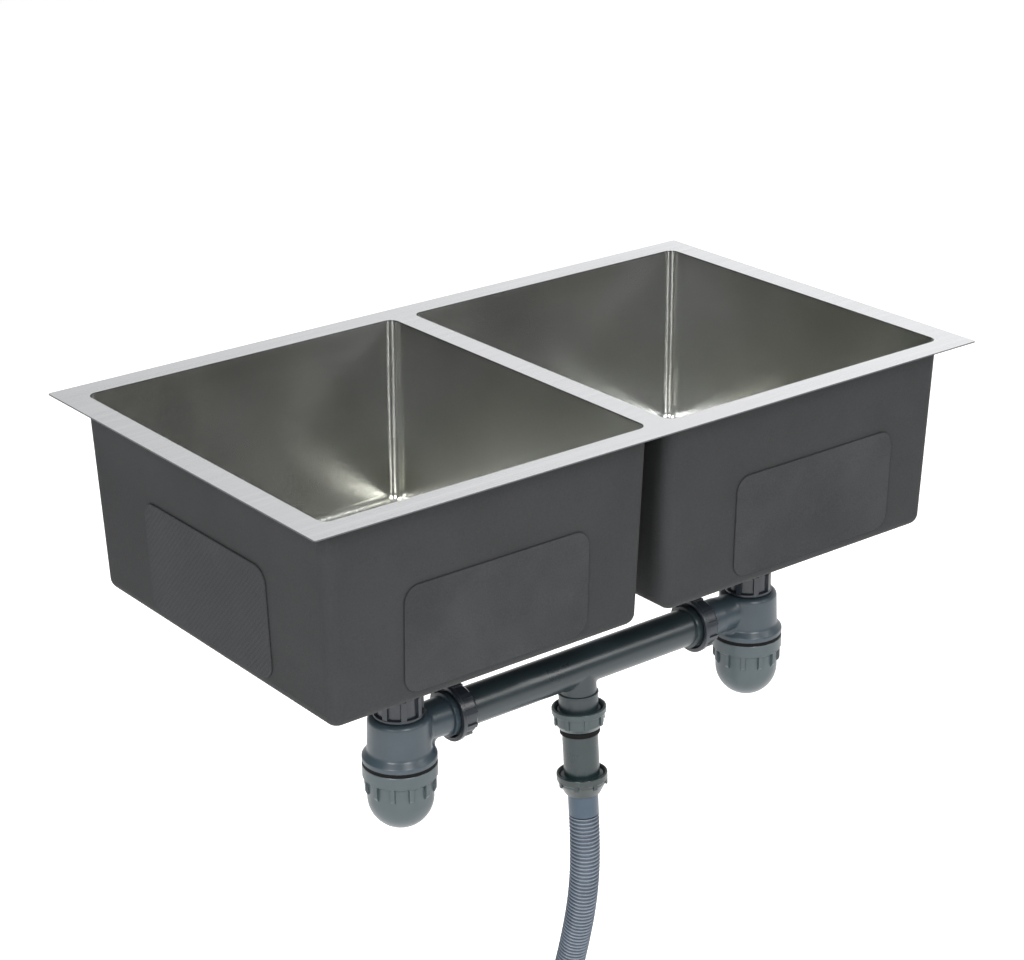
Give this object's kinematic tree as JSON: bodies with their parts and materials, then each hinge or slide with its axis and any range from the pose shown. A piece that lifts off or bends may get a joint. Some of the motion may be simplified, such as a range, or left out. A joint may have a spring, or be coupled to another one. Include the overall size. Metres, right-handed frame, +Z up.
{
  "type": "double bowl kitchen sink",
  "caption": "Kitchen sink with rectangular bowls under one flat rim, lift-out strainers, bottle traps joined by a cross pipe, and a corrugated waste hose.",
  "frame": {"origin": "centre of the rim's flat top face, on the strip between the bowls", "axes": "+Z up, out of the rim's top face; +X along the rim's length, towards the bowl on the right seen from the side the drains are nearer to; +Y across the rim, away from that side"},
  "size_m": [0.8, 0.46, 0.923],
  "materials": {
    "rim_steel": "bright, fine brushed grain",
    "bowl_steel": "brushed, satin",
    "coat": "sprayed matt charcoal sound-deadening coat",
    "sound_pad": "matt charcoal pad with a fine woven grain",
    "strainer_steel": "pressed stainless steel, satin",
    "seal_rubber": "black rubber",
    "drain_plastic": "moulded grey plastic",
    "trap_plastic": "moulded slate grey plastic, semi-gloss",
    "cup_plastic": "moulded grey plastic, semi-gloss",
    "nut_plastic": "moulded dark slate plastic, semi-gloss",
    "pipe_plastic": "smooth slate grey plastic pipe",
    "tee_plastic": "moulded green-grey plastic, semi-gloss",
    "hose_plastic": "flexible blue-grey plastic, corrugated on the hose"
  },
  "bodies": {
    "sink": {"rim_deck": "rim_steel", "bowl_left": "bowl_steel", "bowl_right": "bowl_steel", "coat_left": "coat", "coat_right": "coat", "pad_front_left": "sound_pad", "pad_front_right": "sound_pad", "pad_end_left": "sound_pad", "pad_end_right": "sound_pad", "pad_rear_left": "sound_pad", "pad_rear_right": "sound_pad", "pad_floor_left": "sound_pad", "pad_floor_right": "sound_pad", "strainer_flange_left": "strainer_steel", "strainer_flange_right": "strainer_steel", "strainer_screws": "strainer_steel", "flange_seal_left": "seal_rubber", "flange_seal_right": "seal_rubber", "under_seal_left": "seal_rubber", "under_seal_right": "seal_rubber", "adaptor_seal": "seal_rubber", "drain_body_left": "drain_plastic", "drain_body_right": "drain_plastic", "inlet_tube_left": "drain_plastic", "inlet_tube_right": "drain_plastic", "trap_body_left": "trap_plastic", "trap_body_right": "trap_plastic", "cross_pipe": "pipe_plastic", "adaptor_tube": "tee_plastic", "hose_end": "tee_plastic", "hose": "hose_plastic", "hose_cuff": "hose_plastic"},
    "basket_left": {"basket_left": "strainer_steel", "basket_plug_left": "seal_rubber"},
    "inlet_washer_left": {"inlet_washer_left": "seal_rubber"},
    "inlet_nut_left": {"inlet_nut_left": "nut_plastic"},
    "trap_seal_left": {"trap_seal_left": "seal_rubber"},
    "trap_cup_left": {"trap_cup_left": "cup_plastic"},
    "coupling_washer_left": {"coupling_washer_left": "seal_rubber"},
    "coupling_nut_left": {"coupling_nut_left": "nut_plastic"},
    "basket_right": {"basket_right": "strainer_steel", "basket_plug_right": "seal_rubber"},
    "inlet_washer_right": {"inlet_washer_right": "seal_rubber"},
    "inlet_nut_right": {"inlet_nut_right": "nut_plastic"},
    "trap_seal_right": {"trap_seal_right": "seal_rubber"},
    "trap_cup_right": {"trap_cup_right": "cup_plastic"},
    "coupling_washer_right": {"coupling_washer_right": "seal_rubber"},
    "coupling_nut_right": {"coupling_nut_right": "nut_plastic"},
    "tee_seal": {"tee_seal": "seal_rubber"},
    "tee_nut": {"tee_nut": "tee_plastic"},
    "adaptor_nut": {"adaptor_nut": "tee_plastic"}
  },
  "joints": [
    {"name": "basket_left_lift", "type": "slide", "parent": "sink", "child": "basket_left", "axis": [0, 0, 1], "range_m": [0, 0.25]},
    {"name": "inlet_washer_left_slide", "type": "slide", "parent": "sink", "child": "inlet_washer_left", "axis": [0, 0, 1], "range_m": [0, 0.0091]},
    {"name": "inlet_nut_left_turn", "type": "hinge", "parent": "inlet_washer_left", "child": "inlet_nut_left", "pos_m": [-0.2235, -0.09, -0.261], "axis": [0, 0, 1], "range_deg": [0, 1080]},
    {"name": "trap_seal_left_slide", "type": "slide", "parent": "sink", "child": "trap_seal_left", "axis": [0, 0, -1], "range_m": [0, 0.0109]},
    {"name": "trap_cup_left_turn", "type": "hinge", "parent": "trap_seal_left", "child": "trap_cup_left", "pos_m": [-0.2235, -0.09, -0.35], "axis": [0, 0, -1], "range_deg": [0, 1080]},
    {"name": "coupling_washer_left_slide", "type": "slide", "parent": "sink", "child": "coupling_washer_left", "axis": [1, 0, 0], "range_m": [0, 0.0091]},
    {"name": "coupling_nut_left_turn", "type": "hinge", "parent": "coupling_washer_left", "child": "coupling_nut_left", "pos_m": [-0.156, -0.09, -0.292], "axis": [1, 0, 0], "range_deg": [0, 1080]},
    {"name": "basket_right_lift", "type": "slide", "parent": "sink", "child": "basket_right", "axis": [0, 0, 1], "range_m": [0, 0.25]},
    {"name": "inlet_washer_right_slide", "type": "slide", "parent": "sink", "child": "inlet_washer_right", "axis": [0, 0, 1], "range_m": [0, 0.0091]},
    {"name": "inlet_nut_right_turn", "type": "hinge", "parent": "inlet_washer_right", "child": "inlet_nut_right", "pos_m": [0.227, -0.09, -0.261], "axis": [0, 0, 1], "range_deg": [0, 1080]},
    {"name": "trap_seal_right_slide", "type": "slide", "parent": "sink", "child": "trap_seal_right", "axis": [0, 0, -1], "range_m": [0, 0.0109]},
    {"name": "trap_cup_right_turn", "type": "hinge", "parent": "trap_seal_right", "child": "trap_cup_right", "pos_m": [0.227, -0.09, -0.35], "axis": [0, 0, -1], "range_deg": [0, 1080]},
    {"name": "coupling_washer_right_slide", "type": "slide", "parent": "sink", "child": "coupling_washer_right", "axis": [1, 0, 0], "range_m": [0, 0.0091]},
    {"name": "coupling_nut_right_turn", "type": "hinge", "parent": "coupling_washer_right", "child": "coupling_nut_right", "pos_m": [0.155, -0.09, -0.292], "axis": [1, 0, 0], "range_deg": [0, 1080]},
    {"name": "tee_seal_slide", "type": "slide", "parent": "sink", "child": "tee_seal", "axis": [0, -0.0698, -0.9976], "range_m": [0, 0.0091]},
    {"name": "tee_nut_turn", "type": "hinge", "parent": "tee_seal", "child": "tee_nut", "pos_m": [-0.005, -0.09377, -0.34587], "axis": [0, -0.0698, -0.9976], "range_deg": [0, 1080]},
    {"name": "adaptor_nut_turn", "type": "hinge", "parent": "sink", "child": "adaptor_nut", "pos_m": [-0.005, -0.09879, -0.41769], "axis": [0, -0.0698, -0.9976], "range_deg": [0, 1080]}
  ],
  "couplings": [
    {"joint": "inlet_washer_left_slide", "follows": "inlet_nut_left_turn", "m_per_rad": 0.00047746},
    {"joint": "trap_seal_left_slide", "follows": "trap_cup_left_turn", "m_per_rad": 0.00057296},
    {"joint": "coupling_washer_left_slide", "follows": "coupling_nut_left_turn", "m_per_rad": 0.00047746},
    {"joint": "inlet_washer_right_slide", "follows": "inlet_nut_right_turn", "m_per_rad": 0.00047746},
    {"joint": "trap_seal_right_slide", "follows": "trap_cup_right_turn", "m_per_rad": 0.00057296},
    {"joint": "coupling_washer_right_slide", "follows": "coupling_nut_right_turn", "m_per_rad": 0.00047746},
    {"joint": "tee_seal_slide", "follows": "tee_nut_turn", "m_per_rad": 0.00047746}
  ]
}
